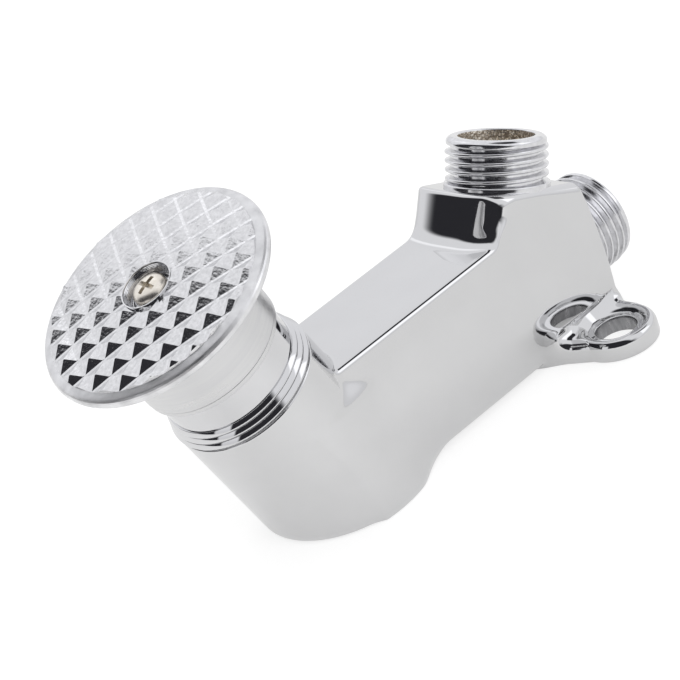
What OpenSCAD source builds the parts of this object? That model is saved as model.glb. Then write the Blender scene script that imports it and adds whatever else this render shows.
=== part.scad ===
// Foot pedal valve: a floor-standing, self-closing tap worked by the foot.
// Origin: on the floor, midway between the two screw holes. +X points to the pedal, +Z up.

/* [Axes] */
// Forward lean of the pedal, cup and neck from upright
pedal_lean = 22.5; // [18:0.5:26]
// Backward lean of the outlet spigot from upright
outlet_lean = 22.5; // [15:0.5:28]
// Distance from the screw holes to the middle of the cup's mouth
cup_x = 77.7; // [74:0.1:90]
// Height of the middle of the cup's mouth
cup_z = 35.3; // [35:0.1:40]

/* [Body casting] */
// Width of the flat facet on top of the arm
facet_w = 22.8; // [20:0.1:25]
// Height of the flat facet
facet_z = 31.45; // [31:0.05:33.5]
// Greatest width of the arm, across its bulged sides
belly_w = 26.6; // [25.5:0.1:29]
// Height at which the arm is widest
belly_z = 14; // [10:0.5:18]
// Height of the arm's underside above the floor
sole_z = 0.8; // [0.4:0.1:2]
// Radius of the arm's lower edges
sole_r = 5; // [2:0.5:7]
// Distance from the screw holes back to the rear face
rear_x = 8.9; // [8.6:0.1:12]
// Radius where the facet runs up into the outlet block
block_fillet = 3; // [1:0.5:6]

/* [Cup] */
// Outer diameter of the cup
cup_d = 31.26; // [31:0.02:33]
// Bore that takes the bonnet
mouth_d = 25.4; // [25.2:0.1:26.4]
// Bore of the chamber above the seat
upper_d = 23.2; // [22.6:0.1:24]
// Bore of the chamber below the seat
lower_d = 19.8; // [19:0.1:20.4]
// Depth of the ledge that carries the seat, below the mouth
ledge_depth = 21; // [20.6:0.1:21.3]
// Thickness of the casting under the lower chamber
floor_wall = 3; // [2:0.1:3.2]

/* [Outlet block] */
// Distance from the screw holes to the middle of the outlet face
outlet_x = 2.5; // [0:0.1:6]
// Height of the middle of the outlet face
outlet_z = 34.5; // [33:0.1:38]
// Distance from the outlet's axis to the block's front face
block_front = 12.5; // [11.5:0.1:15]
// Forward lean of the block's front face from upright
block_lean = 32; // [22:0.5:38]
// Depth of the outlet bore below the outlet face
outlet_depth = 9; // [8:0.1:9.6]
// Width of the passage from the cup to the outlet
outlet_way_w = 12; // [8:0.5:14]
// Height of the passage from the cup to the outlet
outlet_way_h = 6.6; // [5:0.1:7]
// Wall between that passage and the facet
outlet_way_wall = 2.05; // [1.6:0.05:2.6]

/* [Threaded spigots] */
// Diameter over the thread crests
thread_d = 20.955; // [20.8:0.005:26.5]
// Thread pitch
thread_pitch = 1.814; // [1.6:0.002:1.9]
// Depth of the thread
thread_depth = 1.162; // [0.8:0.002:1.3]
// Width of the flat on each crest
crest_w = 0.4; // [0.2:0.05:0.6]
// Width of the flat at each root
root_w = 0.3; // [0.1:0.05:0.5]
// Number of crests on each spigot
crests = 5; // [3:1:5]
// Bore of the spigots
port_d = 15.58; // [13:0.02:16.5]
// Length of each spigot from the face it stands on
spigot_len = 11.4; // [11.2:0.1:16]
// Height of the plain collar at a spigot's foot
collar_h = 1; // [0.5:0.1:1.6]
// Amount by which that collar stands out past the crests
collar_proud = 0.35; // [0.1:0.05:1]
// Chamfer on a spigot's end
lip_chamfer = 0.6; // [0.2:0.1:0.8]
// Height of the inlet's axis
inlet_z = 15.74; // [14:0.02:17]
// Depth of the inlet bore in front of the rear face
inlet_depth = 2; // [1:0.5:6]
// Diameter of the passage from the inlet to the cup
inlet_way_d = 9.4; // [7:0.1:9.6]

/* [Screw lugs] */
// Distance between the two screw holes
lug_spacing = 38; // [36:0.1:44]
// Diameter of each screw hole
lug_hole_d = 8.6; // [5:0.1:9]
// Outer diameter of each lug
lug_d = 16.8; // [15:0.1:20]
// Height of each lug's rim
lug_h = 4.8; // [3:0.1:7]
// Diameter of the dished recess round the hole
dish_d = 13.4; // [11:0.1:14.4]
// Depth of that recess
dish_h = 1.1; // [0.4:0.1:2]
// Length of a lug's root along the body, in front of the hole
lug_root = 13; // [9:0.5:18]

/* [Bonnet] */
// Distance from the cup's mouth up to the rim of the tread face
tread_h = 30.6; // [29.5:0.1:32]
// Depth of the bonnet's screwed part in the cup
bonnet_depth = 6.5; // [5:0.1:6.6]
// Thickness of the gasket on the cup's mouth
gasket_h = 0.5; // [0.3:0.05:1]
// Diameter of the gasket
gasket_d = 30.2; // [28:0.1:31]
// Diameter of the lowest, widest ring
ring_low_d = 31.52; // [31.3:0.02:33]
// Diameter of the middle ring
ring_mid_d = 30.6; // [30:0.1:31.2]
// Diameter of the upper ring
ring_top_d = 29.8; // [29:0.1:30.2]
// Height of each ring
ring_h = 1.2; // [0.8:0.05:1.25]
// Height of the groove between two rings
ring_groove = 0.1; // [0.05:0.01:0.15]
// Depth of the groove between two rings
ring_groove_depth = 0.35; // [0.1:0.05:0.5]
// Rounding of each ring's edges
ring_edge = 0.3; // [0.1:0.05:0.5]
// Outer diameter of the neck
neck_d = 28.16; // [27.6:0.02:28.4]
// Diameter of the spring well in the neck
well_d = 20.6; // [20:0.1:22]
// Height of the well's floor above the cup's mouth
well_floor = 4.5; // [4:0.1:5]
// Thickness of the web between the seals and the bush
web_h = 0.8; // [0.6:0.1:1.2]

/* [Stem and seals] */
// Diameter of the spindle
spindle_d = 8; // [7.6:0.1:8.4]
// Running clearance round the spindle
spindle_fit = 0.05; // [0.02:0.01:0.1]
// Clearance between pieces that are seated in each other
seat_fit = 0.05; // [0.02:0.01:0.1]
// Clearance between faces that slide past each other
slide_gap = 0.3; // [0.25:0.05:0.5]
// Cross-section of each stem seal
seal_d = 2.1; // [1.8:0.1:2.2]
// Thickness of the ring between the seals
spacer_h = 0.8; // [0.5:0.1:1]
// Wall of the guide bush
bush_wall = 2.1; // [1.6:0.1:2.4]
// Thickness of the stem clip
clip_h = 0.8; // [0.6:0.1:1]
// Width of the stem clip's ring
clip_w = 2.6; // [1.6:0.1:3]
// Depth of the clip's groove in the spindle
clip_groove = 0.7; // [0.4:0.1:0.9]
// Opening of the clip
clip_gap = 5; // [3:0.5:6]
// Diameter of the spindle's end in the push cap
tenon_d = 6.4; // [5.6:0.1:6.8]

/* [Valve] */
// Travel of the pedal
travel = 6; // [4:0.1:6]
// Gap left between the neck and the push cap at full travel
stop_gap = 0.4; // [0.3:0.05:0.6]
// Thickness of the seat's gasket
seat_gasket_h = 0.5; // [0.3:0.05:0.6]
// Thickness of the seat ring's flange
seat_flange_h = 1.7; // [1.4:0.1:1.8]
// Hole through the seat ring
seat_hole_d = 13; // [11:0.1:13.4]
// Height of the seat ring's hub below the ledge
seat_hub_h = 0.4; // [0.2:0.05:0.5]
// Width of the raised sealing lip
lip_w = 0.9; // [0.5:0.1:1.1]
// Height of the raised sealing lip
lip_h = 0.6; // [0.3:0.05:0.65]
// Diameter of the rubber valve washer
washer_d = 16; // [15.4:0.1:16]
// Thickness of the rubber valve washer
washer_h = 1.8; // [1.4:0.1:1.8]
// Side wall of the washer's holder
holder_wall = 0.25; // [0.2:0.01:0.3]
// Bottom of the washer's holder
holder_floor = 1.3; // [1:0.1:1.4]
// Height of the holder's side wall
holder_rim = 1.2; // [0.8:0.1:1.3]

/* [Return spring] */
// Wire diameter of the return spring
wire_d = 1.4; // [1:0.05:1.6]
// Mean diameter of the return spring
coil_d = 16.4; // [14:0.1:17.4]
// Number of coils
coils = 6.5; // [5:0.5:6.5]
// Thickness of the washer at each end of the spring
thrust_h = 0.8; // [0.5:0.05:1]

/* [Push cap] */
// Outer diameter of the push cap
cap_d = 30.36; // [30.2:0.02:31.4]
// Thickness of the push cap's top
cap_top = 3; // [2.4:0.1:3.4]
// Distance from the tread face down to the sleeve's lower edge
cap_reach = 19.9; // [17:0.1:18.9]
// Rounding of the push cap's upper edge
cap_edge = 0.6; // [0.2:0.1:1.5]

/* [Pedal plate] */
// Diameter of the pedal plate
plate_d = 50; // [46:0.5:60]
// Thickness of the pedal plate
plate_h = 3.5; // [3.3:0.1:5]
// Rounding of the plate's rim
plate_edge = 1; // [0.5:0.1:1.5]
// Width of the sloping band round the tread
band_w = 1.8; // [1:0.1:2.5]
// Drop of that band towards the plate's side
band_drop = 0.7; // [0.6:0.1:1.6]
// Rise of the domed tread's middle above its rim
tread_dome = 1.5; // [0.8:0.1:3]
// Distance between the tread's grooves
tread_pitch = 4.82; // [3.5:0.02:6]
// Depth of the tread's grooves
tread_depth = 0.8; // [0.5:0.05:1.3]
// Turn of the tread's grid
tread_turn = -35.5; // [-45:0.5:45]
// Shift of the tread's grid across its first set of grooves
tread_shift = 1.1; // [-2.4:0.1:2.4]
// Shift of the crossing grooves
tread_cross_shift = -2.2; // [-2.4:0.1:2.4]
// Width of the blunt tip on each pyramid
tread_tip = 0.3; // [0.1:0.05:0.6]
// Diameter of the recess at the tread face
recess_d = 11.2; // [11:0.1:14]
// Diameter of the recess at its floor
recess_floor_d = 10.2; // [10:0.1:10.8]
// Depth of the recess
recess_h = 3; // [2.7:0.1:3.2]
// Width of the plain land round the recess
land_w = 0.3; // [0.3:0.1:1.5]
// Drop of that land below the pyramids' tips
land_drop = 0.3; // [0.2:0.1:1]

/* [Screws] */
// Thread diameter of the pedal screw and the washer screw
screw_d = 4; // [3:0.1:4.4]
// Head diameter of the pedal screw
head_d = 8.4; // [8:0.1:9.6]
// Height of the pedal screw's head
head_h = 1.8; // [1:0.1:1.8]
// Rounding of the pedal screw's head
head_round = 0.4; // [0.2:0.05:0.8]
// Height of the upright side of that head
head_side_h = 0.75; // [0.5:0.05:0.9]
// Length of both screws under the head
screw_len = 12; // [8:0.5:14]
// Thickness of the lock washer under the pedal screw
lock_h = 0.6; // [0.4:0.1:0.8]
// Outer diameter of the lock washer
lock_d = 7.6; // [7:0.1:8.4]
// Width of the cross recess's arms
cross_w = 1.05; // [0.5:0.05:1.2]
// Length of the cross recess
cross_len = 5; // [3:0.1:5.4]
// Depth of the cross recess
cross_depth = 1; // [0.6:0.1:1.2]
// Turn of the cross recess
cross_turn = -6.5; // [-45:0.5:45]
// Head diameter of the washer screw
foot_head_d = 6.8; // [6:0.1:7]
// Head height of the washer screw
foot_head_h = 1.9; // [1.4:0.1:1.9]

/* [Hidden] */
$fn = 72;

// Overlap of cutters past the faces that they cut
eps = 0.5;
// Overlap of cones whose width at the face is a size
skin = 0.001;
// Reach of cutters that run right out of the casting
far = 80;

cup_r = cup_d / 2;
mouth_r = mouth_d / 2;
upper_r = upper_d / 2;
lower_r = lower_d / 2;
belly_r = belly_w / 2;
facet_r = facet_w / 2;
port_r = port_d / 2;
crest_r = thread_d / 2;
root_r = crest_r - thread_depth;
lug_y = lug_spacing / 2;
lug_r = lug_d / 2;

// Heights along the pedal's axis, from the cup's mouth
plate_bottom = tread_h - plate_h;
cap_bottom = plate_bottom - cap_top;
sleeve_end = tread_h - cap_reach;
spring_top = cap_bottom - thrust_h;
neck_top = cap_bottom - travel - stop_gap;
flange_bottom = gasket_h;
rings_top = flange_bottom + 3 * ring_h + 2 * ring_groove;
seal_pocket_h = 2 * seal_d + spacer_h + 4 * seat_fit;
pocket_bottom = well_floor - seal_pocket_h;
bush_top = pocket_bottom - web_h;
clip_top = -bonnet_depth - slide_gap;
ledge = -ledge_depth;
seat_bottom = ledge + seat_gasket_h;
seat_top = seat_bottom + seat_flange_h;
lip_bottom = ledge - seat_hub_h - lip_h;
washer_top = lip_bottom - seat_fit;
washer_bottom = washer_top - washer_h;
holder_bottom = washer_bottom - holder_floor;

spindle_r = spindle_d / 2;
stem_hole_r = spindle_r + spindle_fit;
pocket_r = stem_hole_r + seal_d + seat_fit;
bush_r = stem_hole_r + bush_wall;
neck_r = neck_d / 2;
sleeve_r = neck_r + slide_gap;
screw_r = screw_d / 2;
tap_r = screw_r + seat_fit;

outlet_way_z = facet_z - outlet_way_wall - outlet_way_h / 2;
inlet_way_z = inlet_z - port_r + inlet_way_d / 2;

// Radius of the arm's bulged sides, through the facet's edge and the widest point
bulge = belly_r - facet_r;
bulge_r = (pow(facet_z - belly_z, 2) + pow(bulge, 2)) / (2 * bulge);
function side_y(z) = belly_r - bulge_r + sqrt(pow(bulge_r, 2) - pow(z - belly_z, 2));

// Points on an arc, from angle a to angle b
function arc(x, y, r, a, b, n = 8) =
    [for (i = [0 : n]) [x + r * cos(a + (b - a) * i / n), y + r * sin(a + (b - a) * i / n)]];

// Outline points of a ring with softened edges
function bead(r, low, high, edge) =
    [[r - edge, low], [r, low + edge], [r, high - edge], [r - edge, high]];

// Axis frames: h runs up the pedal's axis from the cup's mouth, or up the outlet from its face
module on_pedal_axis(h = 0) {
    translate([cup_x, 0, cup_z])
        rotate([0, pedal_lean, 0])
            translate([0, 0, h])
                children();
}

module on_outlet_axis(h = 0) {
    translate([outlet_x, 0, outlet_z])
        rotate([0, -outlet_lean, 0])
            translate([0, 0, h])
                children();
}

module on_inlet_axis(h = 0) {
    translate([-rear_x, 0, inlet_z])
        rotate([0, -90, 0])
            translate([0, 0, h])
                children();
}

// A flat ring or washer standing on height low
module ring(low, high, inner_r, outer_r) {
    translate([0, 0, low])
        difference() {
            cylinder(r = outer_r, h = high - low);
            translate([0, 0, -eps])
                cylinder(r = inner_r, h = high - low + 2 * eps);
        }
}

// Profile of a threaded spigot's outside, crests as separate rings
thread_low = collar_h;
thread_top = thread_low + crests * thread_pitch;
flank_w = (thread_pitch - crest_w - root_w) / 2;
collar_side = 0.8;
function thread_points() = [
    for (i = [0 : crests - 1])
        let (z = thread_low + i * thread_pitch)
            each [
                [root_r, z + root_w / 2],
                [crest_r, z + root_w / 2 + flank_w],
                [crest_r, z + root_w / 2 + flank_w + crest_w],
                [root_r, z + thread_pitch - root_w / 2]
            ]
];

module spigot() {
    rotate_extrude()
        polygon(concat(
            [[0, -eps], [crest_r + collar_proud, -eps], [crest_r + collar_proud, collar_h * collar_side],
             [root_r, collar_h]],
            thread_points(),
            [[root_r, thread_top], [crest_r - lip_chamfer, thread_top],
             [crest_r - lip_chamfer, spigot_len - lip_chamfer], [crest_r - 2 * lip_chamfer, spigot_len],
             [0, spigot_len]]));
}

// Side view of the arm and the outlet block, in X and Z
block_top = [outlet_x + block_front * cos(outlet_lean), outlet_z + block_front * sin(outlet_lean)];
block_rear_z = outlet_z - (outlet_x + rear_x) * tan(outlet_lean);
block_foot_x = block_top[0] + (block_top[1] - facet_z) * tan(block_lean);
fillet_run = block_fillet / tan((90 + block_lean) / 2);
module arm_side_view() {
    polygon(concat(
        [[-rear_x, sole_z], [-rear_x, block_rear_z], block_top],
        arc(block_foot_x + fillet_run, facet_z + block_fillet, block_fillet, 180 + block_lean, 270),
        [[cup_x - (cup_z - facet_z) * tan(pedal_lean), facet_z],
         [cup_x - (cup_z - sole_z) * tan(pedal_lean), sole_z]]));
}

// Front view of the arm, in Y and Z: flat top, bulged sides, rounded lower edges
side_steps = 10;
corner_y = side_y(sole_z + sole_r) - sole_r;
module arm_front_view() {
    half = concat(
        arc(corner_y, sole_z + sole_r, sole_r, 270, 360),
        [for (i = [1 : side_steps])
            let (z = sole_z + sole_r + (facet_z - sole_z - sole_r) * i / side_steps)
                [side_y(z), z]],
        [[facet_r, far]]);
    for (side = [0, 1])
        mirror([side, 0])
            polygon(concat([[-eps, sole_z]], half, [[-eps, far]]));
}

module arm() {
    intersection() {
        rotate([90, 0, 0])
            linear_extrude(height = far, center = true)
                arm_side_view();
        translate([-far / 2, 0, 0])
            rotate([90, 0, 90])
                linear_extrude(height = 3 * far)
                    arm_front_view();
    }
}

module cup_outside() {
    difference() {
        on_pedal_axis(-far)
            cylinder(r = cup_r, h = far);
        translate([0, -far / 2, -far])
            cube([2 * far, far, far]);
    }
}

module lugs() {
    linear_extrude(height = lug_h)
        for (side = [-1, 1]) {
            translate([0, side * lug_y])
                circle(r = lug_r);
            polygon([
                [-rear_x, side * corner_y], [-lug_r, side * lug_y],
                [lug_r, side * lug_y], [lug_root, side * corner_y]]);
        }
}

module lug_cuts() {
    for (side = [-1, 1])
        translate([0, side * lug_y, 0]) {
            translate([0, 0, -eps])
                cylinder(d = lug_hole_d, h = lug_h + 2 * eps);
            translate([0, 0, lug_h - dish_h])
                cylinder(d1 = dish_d - 2 * dish_h, d2 = dish_d, h = dish_h + skin);
        }
}

// Bores of the cup, along the pedal's axis
module cup_bores() {
    on_pedal_axis() {
        translate([0, 0, -bonnet_depth - seat_fit])
            cylinder(r = mouth_r, h = bonnet_depth + eps);
        translate([0, 0, ledge])
            cylinder(r = upper_r, h = ledge_depth);
    }
    difference() {
        on_pedal_axis(-far)
            cylinder(r = lower_r, h = far + ledge + eps);
        translate([0, -far / 2, floor_wall - far])
            cube([2 * far, far, far]);
    }
}

// Water ways: the inlet runs low to the chamber under the seat, the outlet runs high above it
inlet_way_end = cup_x - (cup_z - inlet_way_z) * tan(pedal_lean) - lower_r / 2;
outlet_way_start = outlet_x + outlet_depth * sin(outlet_lean) / 2;
outlet_way_end = cup_x - (cup_z - outlet_way_z) * tan(pedal_lean) - upper_r / 2;
module water_ways() {
    on_inlet_axis(-inlet_depth)
        cylinder(r = port_r, h = spigot_len + inlet_depth + eps);
    translate([-rear_x, 0, inlet_way_z])
        rotate([0, 90, 0])
            cylinder(d = inlet_way_d, h = inlet_way_end + rear_x);
    on_outlet_axis(-outlet_depth)
        cylinder(r = port_r, h = spigot_len + outlet_depth + eps);
    translate([outlet_way_start, 0, outlet_way_z])
        rotate([90, 0, 90])
            linear_extrude(height = outlet_way_end - outlet_way_start)
                for (side = [-1, 1]) {
                    translate([side * (outlet_way_w - outlet_way_h) / 2, 0])
                        circle(d = outlet_way_h);
                    square([outlet_way_w - outlet_way_h, outlet_way_h], center = true);
                }
}

module valve_body() {
    color("gainsboro")
        difference() {
            union() {
                arm();
                cup_outside();
                lugs();
                on_outlet_axis()
                    spigot();
                on_inlet_axis()
                    spigot();
            }
            cup_bores();
            water_ways();
            lug_cuts();
        }
}

module seat_gasket() {
    color("dimgray")
        on_pedal_axis()
            ring(ledge, seat_bottom, lower_r, upper_r - seat_fit);
}

module seat_ring() {
    color("goldenrod")
        on_pedal_axis()
            difference() {
                union() {
                    translate([0, 0, seat_bottom])
                        cylinder(r = upper_r - seat_fit, h = seat_flange_h);
                    translate([0, 0, ledge - seat_hub_h])
                        cylinder(r = lower_r - slide_gap, h = seat_bottom - ledge + seat_hub_h);
                    translate([0, 0, lip_bottom])
                        cylinder(r = seat_hole_d / 2 + lip_w, h = lip_h);
                }
                translate([0, 0, lip_bottom - eps])
                    cylinder(d = seat_hole_d, h = seat_top - lip_bottom + 2 * eps);
            }
}

module bonnet_gasket() {
    color("silver")
        on_pedal_axis()
            ring(0, gasket_h, mouth_r, gasket_d / 2);
}

// Heights of the three polished rings
function ring_low(i) = flange_bottom + i * (ring_h + ring_groove);
ring_radii = [ring_low_d / 2, ring_mid_d / 2, ring_top_d / 2];

module bonnet() {
    color("whitesmoke")
        on_pedal_axis()
            difference() {
                rotate_extrude()
                    polygon(concat(
                        [[0, -bonnet_depth], [mouth_r - seat_fit, -bonnet_depth],
                         [mouth_r - seat_fit, flange_bottom]],
                        [for (i = [0 : 2])
                            each concat(
                                bead(ring_radii[i], ring_low(i), ring_low(i) + ring_h, ring_edge),
                                [[ring_radii[min(i + 1, 2)] - ring_groove_depth, ring_low(i) + ring_h],
                                 [ring_radii[min(i + 1, 2)] - ring_groove_depth,
                                  ring_low(i) + ring_h + (i < 2 ? ring_groove : 0)]])],
                        [[neck_r, rings_top], [neck_r, neck_top - ring_edge],
                         [neck_r - ring_edge, neck_top], [0, neck_top]]));
                translate([0, 0, well_floor])
                    cylinder(d = well_d, h = neck_top);
                translate([0, 0, pocket_bottom])
                    cylinder(r = pocket_r, h = seal_pocket_h + eps);
                translate([0, 0, bush_top - eps])
                    cylinder(r = spindle_r + slide_gap, h = web_h + 2 * eps);
                translate([0, 0, -bonnet_depth - eps])
                    cylinder(r = bush_r + seat_fit, h = bonnet_depth + bush_top + eps);
            }
}

module guide_bush() {
    color("ivory")
        on_pedal_axis()
            ring(-bonnet_depth, bush_top - seat_fit, stem_hole_r, bush_r);
}

module stem_seal(low) {
    color("black")
        on_pedal_axis(low + seal_d / 2)
            rotate_extrude()
                translate([stem_hole_r + seal_d / 2, 0])
                    circle(d = seal_d, $fn = 32);
}

seal_low = pocket_bottom + seat_fit;
spacer_low = seal_low + seal_d + seat_fit;
seal_high = spacer_low + spacer_h + seat_fit;
module stem_seal_lower() {
    stem_seal(seal_low);
}

module stem_seal_upper() {
    stem_seal(seal_high);
}

module seal_spacer() {
    color("ivory")
        on_pedal_axis()
            ring(spacer_low, spacer_low + spacer_h, spindle_r + slide_gap, pocket_r - seat_fit);
}

module spring_seat() {
    color("silver")
        on_pedal_axis()
            ring(well_floor, well_floor + thrust_h, spindle_r + slide_gap, well_d / 2 - slide_gap);
}

module thrust_washer() {
    color("silver")
        on_pedal_axis()
            ring(spring_top, cap_bottom, spindle_r + slide_gap, well_d / 2 - slide_gap);
}

// The coil as one tube: rings of points along a helix, skinned with triangles
wire_sides = 6;
rings_per_coil = 8;
coil_low = well_floor + thrust_h + wire_d / 2 + seat_fit;
coil_high = spring_top - wire_d / 2 - seat_fit;
coil_rings = round(coils * rings_per_coil);
coil_rise = (coil_high - coil_low) / coils;
climb = atan(coil_rise / (PI * coil_d));
function coil_point(i, k) =
    let (turn = 360 * i / rings_per_coil, side = 360 * k / wire_sides,
         out = coil_d / 2 + wire_d / 2 * cos(side), lift = wire_d / 2 * sin(side))
        [out * cos(turn) + lift * sin(climb) * sin(turn),
         out * sin(turn) - lift * sin(climb) * cos(turn),
         coil_low + (coil_high - coil_low) * i / coil_rings + lift * cos(climb)];

module return_spring() {
    points = [for (i = [0 : coil_rings], k = [0 : wire_sides - 1]) coil_point(i, k)];
    sides = [for (i = [0 : coil_rings - 1], k = [0 : wire_sides - 1])
        let (a = i * wire_sides + k, b = i * wire_sides + (k + 1) % wire_sides)
            each [[a, a + wire_sides, b], [b, a + wire_sides, b + wire_sides]]];
    last = coil_rings * wire_sides;
    ends = [for (k = [1 : wire_sides - 2]) each [[0, k, k + 1], [last, last + k + 1, last + k]]];
    color("lightsteelblue")
        on_pedal_axis()
            polyhedron(points = points, faces = concat(sides, ends));
}

// Least gap between one coil and the next, measured between the points of facing rings
coil_gap = min([
    for (i = [0 : coil_rings - rings_per_coil], k = [0 : wire_sides - 1], m = [0 : wire_sides - 1])
        norm(coil_point(i, k) - coil_point(i + rings_per_coil, m))]);
echo(least_gap_between_coils = coil_gap);

module spindle() {
    color("goldenrod")
        on_pedal_axis()
            difference() {
                union() {
                    translate([0, 0, washer_top])
                        cylinder(r = spindle_r, h = cap_bottom - washer_top);
                    translate([0, 0, cap_bottom])
                        cylinder(d = tenon_d, h = cap_top - seat_fit);
                }
                ring(clip_top - clip_h - seat_fit, clip_top + seat_fit,
                    spindle_r - clip_groove, spindle_r + eps);
                translate([0, 0, head_seat - screw_len - eps])
                    cylinder(r = tap_r, h = screw_len + eps + far);
                translate([0, 0, washer_top - eps])
                    cylinder(r = tap_r, h = foot_screw_top - washer_top + 2 * eps);
            }
}

module stem_circlip() {
    color("slategray")
        on_pedal_axis()
            difference() {
                ring(clip_top - clip_h, clip_top, spindle_r - clip_groove + seat_fit,
                    spindle_r - clip_groove + seat_fit + clip_w);
                translate([-clip_gap / 2, 0, clip_top - clip_h - eps])
                    cube([clip_gap, spindle_r + clip_w + eps, clip_h + 2 * eps]);
            }
}

module valve_washer() {
    color("black")
        on_pedal_axis()
            ring(washer_bottom, washer_top, tap_r, washer_d / 2);
}

module valve_holder() {
    color("goldenrod")
        on_pedal_axis() {
            ring(holder_bottom, washer_bottom, tap_r, washer_d / 2 + seat_fit + holder_wall);
            ring(washer_bottom, washer_bottom + holder_rim,
                washer_d / 2 + seat_fit, washer_d / 2 + seat_fit + holder_wall);
        }
}

foot_screw_top = holder_bottom + screw_len;
module washer_screw() {
    color("goldenrod")
        on_pedal_axis()
            difference() {
                union() {
                    translate([0, 0, holder_bottom - foot_head_h])
                        cylinder(d = foot_head_d, h = foot_head_h);
                    translate([0, 0, holder_bottom - eps])
                        cylinder(r = screw_r, h = screw_len + eps);
                }
                translate([-cross_w / 2, -foot_head_d, holder_bottom - foot_head_h - eps])
                    cube([cross_w, 2 * foot_head_d, foot_head_h / 2 + eps]);
            }
}

module push_cap() {
    color("lightgray")
        on_pedal_axis()
            difference() {
                rotate_extrude()
                    polygon(concat(
                        [[0, sleeve_end], [cap_d / 2, sleeve_end]],
                        arc(cap_d / 2 - cap_edge, plate_bottom - cap_edge, cap_edge, 0, 90, 4),
                        [[0, plate_bottom]]));
                translate([0, 0, sleeve_end - eps])
                    cylinder(r = sleeve_r, h = cap_bottom - sleeve_end + eps);
                translate([0, 0, cap_bottom - eps])
                    cylinder(r = tenon_d / 2 + seat_fit, h = cap_top + 2 * eps);
            }
}

// The tread's dome, a part of a ball that meets the rim's rounding
tread_top = tread_h + tread_dome;
dome_run = plate_d / 2 - band_w;
dome_r = (pow(dome_run, 2) + pow(tread_dome, 2)) / (2 * tread_dome);
dome_steps = 6;
function dome_at(r) = sqrt(pow(dome_r, 2) - pow(r, 2));

// V-shaped grooves over the dome, in two directions, leave square-based pyramids between them
groove_count = ceil(plate_d / 2 / tread_pitch);
groove_sweep = 2 * asin(plate_d / 2 / dome_r) + 4;
module tread_grooves() {
    half = (tread_pitch - tread_tip) / 2;
    translate([0, 0, tread_top - dome_r])
        for (set = [0, 1])
            rotate([0, 90, tread_turn + 90 * set])
                rotate([0, 0, 180 - groove_sweep / 2])
                    rotate_extrude(angle = groove_sweep, $fn = 3 * $fn)
                        for (i = [-groove_count : groove_count])
                            let (shift = set == 0 ? tread_shift : tread_cross_shift)
                            let (at = (i + 0.5) * tread_pitch + shift)
                                polygon([
                                    [dome_at(at - half), at - half], [dome_at(at) - tread_depth, at],
                                    [dome_at(at + half), at + half], [dome_r + eps, at + half],
                                    [dome_r + eps, at - half]]);
}

recess_floor = tread_top - recess_h;
land_r = recess_d / 2 + land_w;
module pedal_plate() {
    color("gainsboro")
        on_pedal_axis()
            difference() {
                rotate_extrude()
                    polygon(concat(
                        [[0, plate_bottom]],
                        arc(plate_d / 2 - plate_edge, plate_bottom + plate_edge, plate_edge, -90, 0, 4),
                        [[plate_d / 2, tread_h - band_drop], [dome_run, tread_h]],
                        [for (i = [1 : dome_steps])
                            let (r = dome_run * (1 - i / dome_steps))
                                [r, tread_top - dome_r + dome_at(r)]]));
                difference() {
                    tread_grooves();
                    cylinder(r = land_r, h = tread_top + eps);
                }
                translate([0, 0, tread_top - land_drop])
                    cylinder(r = land_r + skin, h = land_drop + eps);
                translate([0, 0, recess_floor])
                    cylinder(d1 = recess_floor_d, d2 = recess_d, h = recess_h + skin);
                translate([0, 0, plate_bottom - eps])
                    cylinder(r = screw_r + slide_gap, h = recess_floor - plate_bottom + 2 * eps);
            }
}

module lock_washer() {
    color("lightsteelblue")
        on_pedal_axis()
            ring(recess_floor, recess_floor + lock_h, screw_r + seat_fit, lock_d / 2);
}

head_seat = recess_floor + lock_h;
head_top = head_seat + head_h;
module pedal_screw() {
    color("wheat")
        on_pedal_axis()
            difference() {
                union() {
                    rotate_extrude()
                        polygon([[0, head_seat], [head_d / 2, head_seat],
                                 [head_d / 2, head_seat + head_side_h],
                                 [head_d / 2 - head_round, head_seat + head_side_h + head_round],
                                 [head_d / 4, head_top], [0, head_top]]);
                    translate([0, 0, head_seat - screw_len])
                        cylinder(r = screw_r, h = screw_len + head_h / 2);
                }
                for (turn = [0, 90])
                    rotate([0, 0, turn + cross_turn])
                        translate([-cross_len / 2, -cross_w / 2, head_top - cross_depth])
                            cube([cross_len, cross_w, cross_depth + eps]);
            }
}

valve_body();
seat_gasket();
seat_ring();
bonnet_gasket();
bonnet();
guide_bush();
stem_seal_lower();
seal_spacer();
stem_seal_upper();
spring_seat();
return_spring();
thrust_washer();
spindle();
stem_circlip();
valve_washer();
valve_holder();
washer_screw();
push_cap();
pedal_plate();
lock_washer();
pedal_screw();
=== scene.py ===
"""Looks of the foot pedal valve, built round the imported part.

Sizes are in millimetres, in the part's own frame: the floor is z = 0, the origin lies midway between the
two screw holes and +X points to the pedal. A piece is turned into metres when it is finished.
"""

import logging
import math
from dataclasses import dataclass
from enum import Enum
from typing import Sequence

import bmesh
import bpy
import numpy as np
from bmesh.types import BMEdge, BMesh, BMVert
from mathutils import Matrix, Vector


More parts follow.
